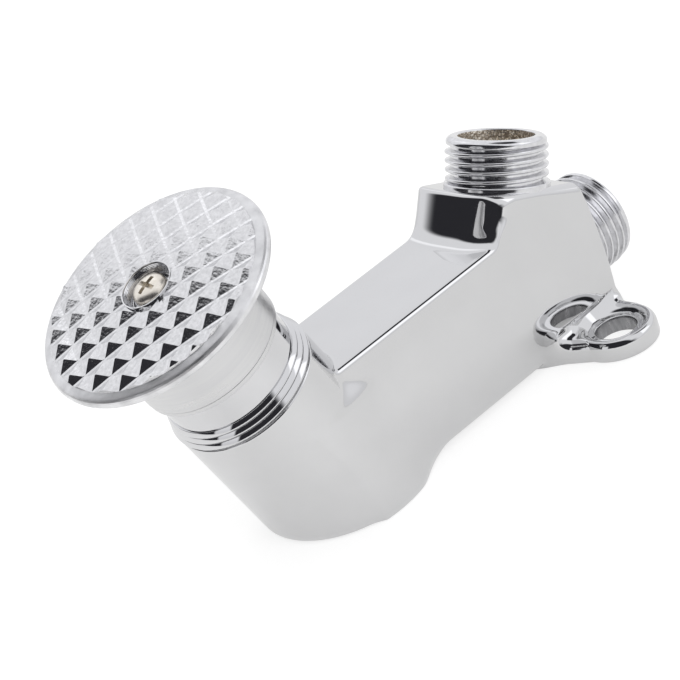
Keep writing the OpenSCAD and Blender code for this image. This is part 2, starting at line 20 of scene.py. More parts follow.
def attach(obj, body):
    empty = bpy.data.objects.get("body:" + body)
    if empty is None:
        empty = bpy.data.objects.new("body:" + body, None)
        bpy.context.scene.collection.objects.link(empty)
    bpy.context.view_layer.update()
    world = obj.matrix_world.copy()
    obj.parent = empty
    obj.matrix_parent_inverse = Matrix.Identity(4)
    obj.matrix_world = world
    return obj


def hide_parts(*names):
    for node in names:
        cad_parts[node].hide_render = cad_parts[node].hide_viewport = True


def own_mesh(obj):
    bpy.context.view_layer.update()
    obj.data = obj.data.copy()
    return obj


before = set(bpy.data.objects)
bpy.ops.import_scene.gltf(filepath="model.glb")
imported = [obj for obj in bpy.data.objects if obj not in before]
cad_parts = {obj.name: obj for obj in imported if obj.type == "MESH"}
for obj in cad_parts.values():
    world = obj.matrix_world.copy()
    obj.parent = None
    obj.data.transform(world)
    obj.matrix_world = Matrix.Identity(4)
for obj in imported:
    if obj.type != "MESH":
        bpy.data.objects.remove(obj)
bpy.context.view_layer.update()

LOG = logging.getLogger("foot_pedal_valve")
MM = 0.001
Piece = bpy.types.Object
Socket = bpy.types.NodeSocket
Point = tuple[float, float, float]
Tint = tuple[float, float, float]
Pair = tuple[float, float]
Corner = tuple[float, ...]
Window = tuple[float, float, float, float]


class Body(Enum):
    """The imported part's bodies that carry the new pieces."""

    HOUSING = "housing"
    PEDAL = "pedal"


class Slot(Enum):
    """The record's material slots that the new pieces use."""

    BODY_CHROME = "body_chrome"
    COLLAR_CHROME = "collar_chrome"
    SATIN_CAP = "satin_cap"
    TREAD_CHROME = "tread_chrome"
    NICKEL_SCREW = "nickel_screw"
    SPRING_STEEL = "spring_steel"
    STEEL_PLATE = "steel_plate"


class Cut(Enum):
    """What a tool solid does to a piece."""

    REMOVE = "DIFFERENCE"
    JOIN = "UNION"


@dataclass(frozen=True)
class Axis:
    """The frame of a turned feature, with its height 0 at an origin.

    A lean of 0 points straight up, and a positive one tips the axis towards the pedal.
    """

    origin: Point
    lean: float

    def matrix(self) -> Matrix:
        """The turn and shift from the feature's own frame to the part's."""
        return Matrix.Translation(self.origin) @ Matrix.Rotation(math.radians(self.lean), 4, "Y")

    def up(self) -> Vector:
        """The direction in which height grows."""
        return self.matrix().to_3x3() @ Vector((0, 0, 1))

    def heights(self, points: np.ndarray) -> tuple[np.ndarray, np.ndarray]:
        """Splits points into their height along the axis and their distance from it.

        Args:
            points: one row of x, y and z for each point.

        Returns:
            The heights and the radii, one of each for every point.
        """
        arm = points - np.array(self.origin)
        up = np.array(self.up())
        height = arm @ up
        return height, np.linalg.norm(arm - height[:, None] * up, axis=1)


PEDAL_AXIS = Axis((77.7, 0.0, 35.3), 22.5)
OUTLET_AXIS = Axis((2.5, 0.0, 34.5), -22.5)
INLET_AXIS = Axis((-8.9, 0.0, 15.74), -90.0)


def wire(bm: BMesh, corners: Sequence[Corner]) -> list[BMEdge]:
    """Draws a closed outline in the plane y = 0, with its corners rounded.

    Args:
        bm: the mesh that takes the outline.
        corners: in order, each corner's radius, height and, where it is rounded, how far.

    Returns:
        The outline's edges.
    """
    verts = [bm.verts.new((r, 0, h)) for r, h, *_ in corners]
    for a, b in zip(verts, verts[1:] + verts[:1]):
        bm.edges.new((a, b))
    for soft in sorted({s for c in corners for s in c[2:]}):
        group = [v for v, c in zip(verts, corners) if soft in c[2:]]
        bmesh.ops.bevel(
            bm, geom=group, offset=soft, offset_type="OFFSET", segments=4, profile=0.5,
            affect="VERTICES", material=-1, clamp_overlap=True,
        )
    return list(bm.edges)


def in_order(edges: Sequence[BMEdge]) -> list[BMVert]:
    """The vertices of a closed wire, one after another."""
    start = edges[0].verts[0]
    order, edge = [start], edges[0]
    while True:
        ahead = edge.other_vert(order[-1])
        if ahead is start:
            return order
        order.append(ahead)
        edge = next(e for e in ahead.link_edges if e is not edge)


def turn(corners: Sequence[Corner], steps: int) -> BMesh:
    """Spins an outline once round its axis, and closes the poles.

    Args:
        corners: the outline's corners; it is closed on itself.
        steps: how many facets go round.

    Returns:
        A new mesh with the turned form, in the axis's own frame.
    """
    bm = bmesh.new()
    geom = wire(bm, corners) + list(bm.verts)
    bmesh.ops.spin(
        bm, geom=geom, cent=(0, 0, 0), axis=(0, 0, 1), angle=math.tau, steps=steps, use_merge=True,
    )
    bmesh.ops.remove_doubles(bm, verts=bm.verts, dist=1e-4)
    bmesh.ops.dissolve_degenerate(bm, edges=bm.edges, dist=1e-5)
    bmesh.ops.recalc_face_normals(bm, faces=bm.faces)
    return bm


def wind(bm: BMesh, turns: float, rise: float, steps: int) -> None:
    """Winds a mesh's faces round its upright axis.

    Args:
        bm: the mesh, with the section to be wound.
        turns: how many times it goes round.
        rise: how far it climbs in each step.
        steps: how many steps are taken in all.
    """
    bmesh.ops.spin(bm, geom=list(bm.faces), cent=(0, 0, 0), axis=(0, 0, 1), dvec=(0, 0, rise),
                   angle=math.tau * turns, steps=steps)
    bmesh.ops.recalc_face_normals(bm, faces=bm.faces)


def drum(bm: BMesh, radius: float, depth: float, middle: Point, segments: int) -> list[BMVert]:
    """Adds an upright cylinder round a middle point, and gives its vertices."""
    verts = bmesh.ops.create_cone(bm, cap_ends=True, segments=segments, radius1=radius, radius2=radius,
                                  depth=depth)["verts"]
    bmesh.ops.translate(bm, verts=verts, vec=middle)
    return verts


def swing(bm: BMesh, degrees: float, axis: str = "Z", centre: Point = (0, 0, 0)) -> None:
    """Turns a whole mesh about a main axis through a centre."""
    bmesh.ops.rotate(bm, verts=bm.verts, cent=centre,
                     matrix=Matrix.Rotation(math.radians(degrees), 3, axis))


def clip_below(bm: BMesh, verts: Sequence[BMVert], z: float) -> None:
    """Cuts away what lies below a height, and closes the cut."""
    own = set(verts)
    geom = [v for v in bm.verts if v in own]
    geom += [g for group in (bm.edges, bm.faces) for g in group if own.issuperset(g.verts)]
    bmesh.ops.bisect_plane(bm, geom=geom, plane_co=(0, 0, z), plane_no=(0, 0, -1), clear_outer=True)
    bmesh.ops.holes_fill(bm, edges=[e for e in bm.edges if e.is_boundary])


def prism(bm: BMesh, outline: Sequence[Point], run: Point) -> list[BMVert]:
    """Pulls a flat outline along a straight run into a solid.

    Args:
        bm: the mesh that takes the solid.
        outline: the corners of the flat face.
        run: the way that the face is pulled.

    Returns:
        The solid's vertices.
    """
    face = bm.faces.new([bm.verts.new(p) for p in outline])
    made = bmesh.ops.extrude_face_region(bm, geom=[face])["geom"]
    far = [g for g in made if isinstance(g, BMVert)]
    bmesh.ops.translate(bm, verts=far, vec=run)
    verts = list(face.verts) + far
    bmesh.ops.recalc_face_normals(bm, faces=list({f for v in verts for f in v.link_faces}))
    return verts


def to_scene(name: str, data: bpy.types.ID) -> Piece:
    """Makes an object of some data and links it to the scene."""
    item = bpy.data.objects.new(name, data)
    bpy.context.scene.collection.objects.link(item)
    return item


def to_piece(name: str, bm: BMesh, axis: Axis | None = None) -> Piece:
    """Turns a mesh in millimetres into an object in metres at the origin.

    Args:
        name: the piece's name.
        bm: the mesh; it is freed.
        axis: the axis whose frame the mesh is in, if it isn't the part's own.

    Returns:
        The new object, linked to the scene.
    """
    if axis:
        bmesh.ops.transform(bm, matrix=axis.matrix(), verts=bm.verts)
    bmesh.ops.scale(bm, vec=(MM, MM, MM), verts=bm.verts)
    mesh = bpy.data.meshes.new(name)
    bm.to_mesh(mesh)
    bm.free()
    return to_scene(name, mesh)


def settle(piece: Piece) -> None:
    """Applies a piece's modifiers, so that its mesh is what they made."""
    graph = bpy.context.evaluated_depsgraph_get()
    graph.update()
    mesh = bpy.data.meshes.new_from_object(piece.evaluated_get(graph))
    old = piece.data
    piece.modifiers.clear()
    piece.data = mesh
    mesh.name = piece.name
    bpy.data.meshes.remove(old)


def carve(piece: Piece, tool: Piece, cut: Cut) -> None:
    """Cuts a closed tool out of a closed piece, or joins it on, and throws the tool away.

    Args:
        piece: the piece that is changed.
        tool: the solid that is used up.
        cut: what the tool does.
    """
    work = piece.modifiers.new("carve", "BOOLEAN")
    work.operation = cut.value
    work.solver = "MANIFOLD"
    work.object = tool
    settle(piece)
    bpy.data.objects.remove(tool)


def voxels(piece: Piece, size: float) -> None:
    """Rebuilds a piece's skin as even quads of a size in millimetres."""
    work = piece.modifiers.new("skin", "REMESH")
    work.mode = "VOXEL"
    work.voxel_size = size * MM
    settle(piece)


def face_centres(mesh: bpy.types.Mesh) -> np.ndarray:
    """The middle of each face in millimetres, one row for each."""
    centres = np.empty(len(mesh.polygons) * 3)
    mesh.polygons.foreach_get("center", centres)
    return centres.reshape(-1, 3) / MM


def place(piece: Piece, body: Body, slot: Slot, *nodes: str) -> None:
    """Fixes a piece to its body and hides the nodes that it stands for.

    Args:
        piece: the finished piece.
        body: the body that carries it.
        slot: the record's slot that its finish belongs to; not used.
        nodes: the CAD nodes that it replaces.
    """
    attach(piece, body.value)
    if nodes:
        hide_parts(*nodes)
    LOG.info("%s: %d faces on %s", piece.name, len(piece.data.polygons), body.value)


class NodeBench:
    """Builds a material's nodes, one call for each."""

    def __init__(self, tree: bpy.types.NodeTree) -> None:
        """Empties a node tree and keeps it."""
        self.tree = tree
        tree.nodes.clear()

    def add(self, kind: str, inputs: dict | None = None, **settings: object) -> bpy.types.Node:
        """Adds a node.

        Args:
            kind: the node's type name, without the ShaderNode in front.
            inputs: values or output sockets for its inputs, by name or number.
            settings: the node's own properties.

        Returns:
            The new node.
        """
        node = self.tree.nodes.new("ShaderNode" + kind)
        for key, value in settings.items():
            setattr(node, key, value)
        for key, value in (inputs or {}).items():
            if isinstance(value, Socket):
                self.tree.links.new(value, node.inputs[key])
            else:
                node.inputs[key].default_value = value
        return node

    def blend(self, share: Socket, a: Tint, b: Tint) -> Socket:
        """Mixes two colours by a share from 0 to 1."""
        ramp = self.add("ValToRGB", {0: share})
        ramp.color_ramp.elements[0].color = (*a, 1)
        ramp.color_ramp.elements[1].color = (*b, 1)
        return ramp.outputs[0]

    def span(self, share: Socket, low: float, high: float, at: Pair = (0.3, 0.7)) -> Socket:
        """Stretches a noise's share over a range of values."""
        inputs = {"Value": share, "From Min": at[0], "From Max": at[1], "To Min": low, "To Max": high}
        return self.add("MapRange", inputs, clamp=True).outputs[0]

    def step(self, value: Socket, low: float, high: float) -> Socket:
        """Goes smoothly from 0 at low to 1 at high."""
        inputs = {"Value": value, "From Min": low, "From Max": high}
        return self.add("MapRange", inputs, interpolation_type="SMOOTHSTEP").outputs[0]

    def reckon(self, operation: str, *values: Socket | float) -> Socket:
        """Reckons one number from two or three."""
        return self.add("Math", dict(enumerate(values)), operation=operation).outputs[0]

    def product(self, *values: Socket | float) -> Socket:
        """Multiplies all its values."""
        total = values[0]
        for value in values[1:]:
            total = self.reckon("MULTIPLY", total, value)
        return total

    def window(self, value: Socket, edges: Window) -> Socket:
        """Goes smoothly from 0 to 1 over the first two edges, and back over the last two."""
        return self.reckon("SUBTRACT", self.step(value, *edges[:2]), self.step(value, *edges[2:]))

    def ways(self, output: str) -> bpy.types.NodeOutputs:
        """The X, Y and Z of a texture coordinate."""
        return self.add("SeparateXYZ", {0: self.add("TexCoord").outputs[output]}).outputs

    def by_ray(self, plain: Socket, mirrored: Socket, seen: Socket) -> Socket:
        """Picks a shader for each kind of ray.

        Args:
            plain: what lights the rest of the scene.
            mirrored: what shows in polished surfaces.
            seen: what the camera sees.

        Returns:
            The picked shader.
        """
        path = self.add("LightPath").outputs
        clear = self.reckon("MAXIMUM", path["Is Camera Ray"], path["Is Transmission Ray"])
        mixed = self.add("MixShader", {0: path["Is Glossy Ray"], 1: plain, 2: mirrored}).outputs[0]
        return self.add("MixShader", {0: clear, 1: mixed, 2: seen}).outputs[0]


@dataclass(frozen=True)
class Finish:
    """A surface finish, with a grain that mixes two tints and two roughnesses over a fine relief.

    The grain and the relief are in cells per metre, and the relief's depth is in millimetres. A lean and
    a stretch turn and draw out the grain, as the tool marks of a turned piece are.
    """

    name: str
    light: Tint
    dark: Tint
    metallic: float = 1.0
    roughness: Pair = (0.03, 0.06)
    grain: float = 300.0
    relief: float = 100.0
    depth: float = 0.01
    lean: float = 0.0
    origin: Point = (0.0, 0.0, 0.0)
    stretch: Point = (1.0, 1.0, 1.0)

    def where(self, bench: NodeBench) -> Socket:
        """The coordinates that the grain is drawn on."""
        inputs = {
            "Vector": bench.add("TexCoord").outputs["Object"], "Location": Vector(self.origin) * MM,
            "Rotation": (0, math.radians(self.lean), 0), "Scale": self.stretch,
        }
        return bench.add("Mapping", inputs, vector_type="TEXTURE").outputs[0]

    def grain_share(self, bench: NodeBench, where: Socket) -> Socket:
        """The share that mixes the tints and the roughnesses."""
        inputs = {"Vector": where, "Scale": self.grain, "Detail": 4.0, "Roughness": 0.55}
        return bench.add("TexNoise", inputs).outputs[0]

    def height(self, bench: NodeBench, where: Socket) -> Socket:
        """The relief's height."""
        inputs = {"Vector": where, "Scale": self.relief, "Detail": 3.0, "Roughness": 0.5}
        return bench.add("TexNoise", inputs).outputs[0]

    def build(self) -> bpy.types.Material:
        """Makes the material, or returns it if it is already made."""
        if self.name in bpy.data.materials:
            return bpy.data.materials[self.name]
        material = bpy.data.materials.new(self.name)
        material.use_nodes = True
        bench = NodeBench(material.node_tree)
        where = self.where(bench)
        share = self.grain_share(bench, where)
        inputs = {"Height": self.height(bench, where), "Strength": 1.0, "Distance": self.depth * MM}
        shader = bench.add("BsdfPrincipled", {
            "Base Color": bench.blend(bench.span(share, 0.0, 1.0), self.dark, self.light),
            "Metallic": self.metallic,
            "Roughness": bench.span(share, self.roughness[1], self.roughness[0]),
            "Normal": bench.add("Bump", inputs).outputs[0],
        })
        bench.add("OutputMaterial", {"Surface": shader.outputs[0]})
        material.diffuse_color = (*self.light, 1)
        return material


@dataclass(frozen=True)
class SpeckledFinish(Finish):
    """A finish of small crystals or pits in place of a soft grain."""

    def grain_share(self, bench: NodeBench, where: Socket) -> Socket:
        """Cells with one value each, as cast crystals have."""
        inputs = {"Vector": where, "Scale": self.grain, "Randomness": 1.0}
        cells = bench.add("TexVoronoi", inputs, feature="F1").outputs["Color"]
        return bench.add("SeparateColor", {0: cells}).outputs[0]

    def height(self, bench: NodeBench, where: Socket) -> Socket:
        """Rounded lumps."""
        inputs = {"Vector": where, "Scale": self.relief, "Randomness": 1.0}
        return bench.add("TexVoronoi", inputs, feature="SMOOTH_F1").outputs[0]


BODY_CHROME = Finish("plated_casting", (0.67, 0.67, 0.675), (0.65, 0.65, 0.655), grain=90,
                     relief=45, depth=0.012)
COLLAR_CHROME = Finish("plated_turning", (0.68, 0.68, 0.69), (0.65, 0.65, 0.66), roughness=(0.02, 0.05),
                       grain=120, relief=300, depth=0.002)
THREAD_CHROME = Finish("plated_thread", (0.77, 0.77, 0.79), (0.66, 0.66, 0.67), roughness=(0.09, 0.18),
                       grain=900, relief=700, depth=0.01)
TREAD_CHROME = Finish("plated_tread", (0.80, 0.80, 0.81), (0.64, 0.64, 0.65), roughness=(0.06, 0.13),
                      grain=1200, relief=1500, depth=0.05)
CAST_RIM = Finish("cast_rim", (0.82, 0.82, 0.83), (0.66, 0.66, 0.67), roughness=(0.3, 0.46),
                  grain=260, relief=500, depth=0.05)
SATIN_CHROME = Finish("satin_chrome", (0.68, 0.68, 0.68), (0.64, 0.64, 0.65), roughness=(0.26, 0.36),
                      grain=1500, relief=2500, depth=0.0006, lean=PEDAL_AXIS.lean,
                      origin=PEDAL_AXIS.origin, stretch=(30, 30, 1))
NICKEL = Finish("warm_nickel", (0.88, 0.84, 0.77), (0.78, 0.73, 0.65), roughness=(0.24, 0.34),
                grain=900, relief=1200, depth=0.008)
CAST_BRASS = SpeckledFinish("cast_brass_bore", (1.0, 0.95, 0.86), (0.45, 0.38, 0.31),
                            roughness=(0.25, 0.5), grain=2600, relief=2300, depth=0.07)
TURNED_BRASS = Finish("machined_brass", (0.74, 0.56, 0.26), (0.62, 0.46, 0.2), roughness=(0.16, 0.28),
                      grain=1200, relief=2000, depth=0.004, lean=PEDAL_AXIS.lean,
                      origin=PEDAL_AXIS.origin, stretch=(25, 25, 1))
SPRING_STEEL = Finish("drawn_wire", (0.56, 0.57, 0.59), (0.44, 0.45, 0.47), roughness=(0.2, 0.34),
                      grain=800, relief=1500, depth=0.006)
ZINC_STEEL = Finish("zinc_steel", (0.66, 0.66, 0.67), (0.54, 0.54, 0.56), roughness=(0.25, 0.4),
                    grain=700, relief=900, depth=0.006)
MACHINED = Finish("machined_hole", (0.42, 0.42, 0.43), (0.30, 0.30, 0.31), roughness=(0.22, 0.4),
                  grain=1100, relief=1700, depth=0.012, stretch=(1, 1, 5))
RUBBER = Finish("moulded_rubber", (0.045, 0.045, 0.045), (0.025, 0.025, 0.025), metallic=0.0,
                roughness=(0.5, 0.7), grain=900, relief=1400, depth=0.01)
ACETAL = Finish("turned_acetal", (0.80, 0.78, 0.71), (0.74, 0.72, 0.65), metallic=0.0,
                roughness=(0.35, 0.45), grain=500, relief=1200, depth=0.004)


def dress(piece: Piece, angle: float, finishes: Sequence[Finish],
          numbers: np.ndarray | None = None) -> None:
    """Gives a piece its finishes and shades it smooth.

    Args:
        piece: the piece that is dressed.
        angle: the edges above this angle, in degrees, are kept sharp.
        finishes: the piece's finishes, in order.
        numbers: for each face the number of its finish, if there is more than one.
    """
    mesh = piece.data
    mesh.materials.clear()
    for finish in finishes:
        mesh.materials.append(finish.build())
    if numbers is not None:
        mesh.polygons.foreach_set("material_index", numbers.astype(np.int32))
    mesh.polygons.foreach_set("use_smooth", [True] * len(mesh.polygons))
    mesh.set_sharp_from_angle(angle=math.radians(angle))
    mesh.update()


def smooth_max(a: np.ndarray, b: np.ndarray, soft: np.ndarray | float) -> np.ndarray:
    """The greater of two distances, with the corner between them rounded over a width."""
    near = np.clip(1 - np.abs(a - b) / soft, 0, None)
    return np.maximum(a, b) + near * near * soft / 4


def smooth_min(a: np.ndarray, b: np.ndarray, soft: np.ndarray | float) -> np.ndarray:
    """The lesser of two distances, with the hollow between them filled over a width."""
    return -smooth_max(-a, -b, soft)


def ease(x: np.ndarray, low: float, high: float) -> np.ndarray:
    """Goes smoothly from 0 at low to 1 at high."""
    t = np.clip((x - low) / (high - low), 0, 1)
    return t * t * (3 - 2 * t)


@dataclass
class Casting:
    """The one-piece body: cup, arm, outlet block and lugs, with cast blends between them."""

    cup_r: float = 15.63
    facet_z: float = 31.45
    facet_r: float = 11.4
    belly_r: float = 13.3
    belly_z: float = 14.0
    belly_share: float = 0.75
    sole_z: float = 0.8
    sole_blend: float = 6.0
    rear_x: float = 8.9
    cast_soft: float = 0.9
    front_lean: float = 32.0
    front_blend: float = 2.0
    foot_x: float = 19.2
    top_rise: float = 1.2
    lug_y: float = 19.0
    lug_r: float = 8.4
    lug_h: float = 4.8
    lug_root: float = 13.0
    lug_rear: float = 8.65
    lug_waist: float = 7.9
    lug_soft: float = 2.3
    hole_r: float = 4.3
    hole_soft: float = 0.5
    dish_r: float = 7.0
    dish_h: float = 1.3
    dish_slope: float = 0.7071
    port_r: float = 7.79
    way_r: float = 4.7
    way_drop: float = 3.09
    floor_wall: float = 3.0
    voxel: float = 0.6
    sharp: float = 34.0
    crease: float = 1.2
    front_crown: float = 1.0
    front_sweep: float = 0.016
    valley: float = 5.0
    ridge_blend: float = 0.8
    lug_blend: float = 2.8

    def side_y(self, z: np.ndarray) -> np.ndarray:
        """Half the arm's width at a height: bulged below, upright above the facet."""
        t = (z - self.belly_z) / (self.facet_z - self.belly_z)
        end = self.belly_share
        u = np.clip((t - end) / 0.4, 0, 1)
        top = (2 * u**3 - 3 * u**2 + 1) * end**2 + (u**3 - 2 * u**2 + u) * 0.6 + 3 * u**2 - 2 * u**3
        return self.belly_r - (self.belly_r - self.facet_r) * np.where(t < end, t * t, top)

    def arm(self, p: np.ndarray) -> np.ndarray:
        """Distance to the arm with the outlet block."""
        x, y, z = p.T
        side = np.abs(y) - self.side_y(z)
        wall = smooth_max(side, self.sole_z - z, self.sole_blend)
        lean = math.radians(self.front_lean)
        front = (x - self.foot_x) * math.cos(lean) + (z - self.facet_z) * math.sin(lean)
        front = front + self.front_crown * np.abs(y / self.facet_r) ** 3
        front = front + self.front_sweep * np.clip(y - 3, 0, None) ** 2
        top = smooth_min(z - self.facet_z, front, self.front_blend)
        # The block's corner is rounder than the facet's, and most so on the side that the photo shows.
        soft = self.crease + (0.5 + 2.4 * ease(y, -2, 6)) * ease(z, self.facet_z + 0.5, self.facet_z + 4)
        form = smooth_max(wall, top, soft)
        above = (p - np.array(OUTLET_AXIS.origin)) @ np.array(OUTLET_AXIS.up())
        form = smooth_max(form, above - self.top_rise, 0.9 + 1.3 * ease(y, 7, 11))
        form = smooth_max(form, -self.rear_x - x, self.cast_soft)
        mouth = np.array(PEDAL_AXIS.origin)
        across = np.array(PEDAL_AXIS.matrix().to_3x3() @ Vector((1, 0, 0)))
        return np.maximum(form, (p - mouth) @ across)

    def cup(self, p: np.ndarray) -> np.ndarray:
        """Distance to the cup."""
        height, radius = PEDAL_AXIS.heights(p)
        form = smooth_max(radius - self.cup_r, height, 0.5)
        # The sole's rounding grows towards the arm.
        return smooth_max(form, -p[:, 2], 2.6 + 4.5 * ease(56 - p[:, 0], 0, 8))

    def lug(self, p: np.ndarray) -> np.ndarray:
        """Distance to the two screw lugs, without their holes."""
        x, y, z = p.T
        y = np.abs(y)
        disc = np.hypot(x, y - self.lug_y) - self.lug_r
        run = Vector((self.lug_root - self.lug_r, self.lug_waist - self.lug_y)).normalized()
        right = (x - self.lug_r) * -run.y + (y - self.lug_y) * run.x
        root = np.maximum(np.maximum(right, -x - self.lug_rear), y - self.lug_y)
        form = smooth_max(np.minimum(disc, root), z - self.lug_h, self.lug_soft)
        return smooth_max(form, -z, self.cast_soft)

    def distance(self, p: np.ndarray) -> np.ndarray:
        """Distance to the casting's outside, negative inside it."""
        z = p[:, 2]
        # The hollow between arm and cup narrows towards the facet and widens again at the sole.
        deep = (self.valley - self.ridge_blend) * (1 - ease(z, 24.5, 29.5))
        soft = self.ridge_blend + deep + 2 * (1 - ease(z, 4, 13))
        form = smooth_min(self.arm(p), self.cup(p), soft)
        form = np.maximum(smooth_min(form, self.lug(p), self.lug_blend), -z)
        radius = np.hypot(p[:, 0], np.abs(p[:, 1]) - self.lug_y)
        cone = (radius - self.dish_r + self.lug_h - z) * self.dish_slope
        over = z - self.lug_h - 2
        dish = np.maximum(np.maximum(cone, self.lug_h - self.dish_h - z), over)
        form = smooth_max(form, -dish, self.cast_soft)
        return smooth_max(form, -np.maximum(radius - self.hole_r, over), self.hole_soft)

    def slope(self, p: np.ndarray, step: float = 0.01) -> np.ndarray:
        """How the distance grows along x, y and z."""
        parts = []
        for axis in range(3):
            shift = np.zeros(3)
            shift[axis] = step
            parts.append((self.distance(p + shift) - self.distance(p - shift)) / (2 * step))
        return np.stack(parts, axis=1)

    def draw_onto(self, mesh: bpy.types.Mesh, rounds: int) -> None:
        """Moves a rough skin's points onto the casting's outside.

        Args:
            mesh: the skin, in metres.
            rounds: how many times each point is moved.
        """
        p = np.empty(len(mesh.vertices) * 3)
        mesh.vertices.foreach_get("co", p)
        p = p.reshape(-1, 3) / MM
        for _ in range(rounds):
            slope = self.slope(p)
            length = np.clip((slope**2).sum(1), 0.05, None)
            move = self.distance(p) / length
            p -= slope * np.clip(move, -1.5, 1.5)[:, None]
        mesh.vertices.foreach_set("co", (p * MM).ravel())
        mesh.update()

    def relax(self, mesh: bpy.types.Mesh, rounds: int) -> None:
        """Evens out the skin's quads and draws them back onto the form."""
        for _ in range(rounds):
            bm = bmesh.new()
            bm.from_mesh(mesh)
            bmesh.ops.smooth_vert(bm, verts=bm.verts, factor=0.5, use_axis_x=True, use_axis_y=True,
                                  use_axis_z=True)
            bm.to_mesh(mesh)
            bm.free()
            self.draw_onto(mesh, 3)

    def refine(self, mesh: bpy.types.Mesh, angle: float) -> None:
        """Splits the quads that turn through more than an angle."""
        bm = bmesh.new()
        bm.from_mesh(mesh)
        bent = [e for e in bm.edges if len(e.link_faces) == 2 and e.calc_face_angle(0) > math.radians(angle)]
        near = {f for e in bent for v in e.verts for f in v.link_faces}
        edges = [e for e in bm.edges if not near.isdisjoint(e.link_faces)]
        bmesh.ops.subdivide_edges(bm, edges=edges, cuts=1, use_grid_fill=True)
        bmesh.ops.triangulate(bm, faces=[f for f in bm.faces if len(f.verts) > 4])
        bm.to_mesh(mesh)
        bm.free()

    def rough(self) -> Piece:
        """Joins plain solids into a rough skin of even quads."""
        bm = bmesh.new()
        half = self.belly_r - 1
        outline = [(-self.rear_x, self.sole_z), (-self.rear_x, 31.0), (13.6, 40.4),
                   (self.foot_x, self.facet_z), (72.0, self.facet_z), (63.0, self.sole_z)]
        prism(bm, [(x, -half, z) for x, z in outline], (0, 2 * half, 0))
        cup = drum(bm, self.cup_r, 80, (0, 0, -40), 96)
        bmesh.ops.transform(bm, matrix=PEDAL_AXIS.matrix(), verts=cup)
        clip_below(bm, cup, 0)
        for side in (-1, 1):
            drum(bm, self.lug_r, self.lug_h, (0, side * self.lug_y, self.lug_h / 2), 64)
            corners = [(-self.lug_rear, 6), (-self.lug_rear, self.lug_y), (self.lug_r, self.lug_y),
                       (self.lug_root + 1, 6)]
            prism(bm, [(x, side * y, 0) for x, y in corners], (0, 0, self.lug_h))
        bmesh.ops.recalc_face_normals(bm, faces=bm.faces)
        skin = to_piece("valve_casting", bm)
        voxels(skin, self.voxel)
        for side in (-1, 1):
            bm = bmesh.new()
            drum(bm, self.hole_r, 20, (0, side * self.lug_y, 5), 48)
            carve(skin, to_piece("hole", bm), Cut.REMOVE)
        voxels(skin, self.voxel)
        return skin

    def bore(self, skin: Piece) -> None:
        """Cuts the cup's chambers and the water ways out of the casting."""
        bm = turn([
            (0, 5), (12.7, 5), (12.7, -6.55), (11.6, -6.55), (11.6, -21), (9.9, -21), (9.9, -50), (0, -50),
        ], 96)
        bmesh.ops.transform(bm, matrix=PEDAL_AXIS.matrix(), verts=bm.verts)
        clip_below(bm, bm.verts, self.floor_wall)
        carve(skin, to_piece("chambers", bm), Cut.REMOVE)
        bm = turn([(0, 3), (self.port_r, 3), (self.port_r, -9, 1.0), (0, -9)], 96)
        carve(skin, to_piece("outlet_bore", bm, OUTLET_AXIS), Cut.REMOVE)
        bm = turn([
            (0, 3), (self.port_r, 3), (self.port_r, -2), (self.way_r, -2), (self.way_r, -70), (0, -70),
        ], 96)
        way = [v for v in bm.verts if v.co.z < -1.9 and math.hypot(v.co.x, v.co.y) < self.way_r + 0.1]
        bmesh.ops.translate(bm, verts=way, vec=(-self.way_drop, 0, 0))
        carve(skin, to_piece("inlet_bore", bm, INLET_AXIS), Cut.REMOVE)

    def build(self) -> None:
        """Makes the casting, which stands for valve_body together with the two spigots."""
        skin = self.rough()
        self.draw_onto(skin.data, 6)
        self.relax(skin.data, 3)
        for angle in (9, 7):
            self.refine(skin.data, angle)
            self.draw_onto(skin.data, 4)
            self.relax(skin.data, 1)
        self.bore(skin)
        centres = face_centres(skin.data)
        inner = self.distance(centres) < -0.15
        x, y, z = centres.T
        hole = (np.hypot(x, np.abs(y) - self.lug_y) < self.hole_r + 0.12) & (z > 0.05)
        dress(skin, self.sharp, (BODY_CHROME, CAST_BRASS, MACHINED), np.where(hole, 2, inner))
        place(skin, Body.HOUSING, Slot.BODY_CHROME, "valve_body")


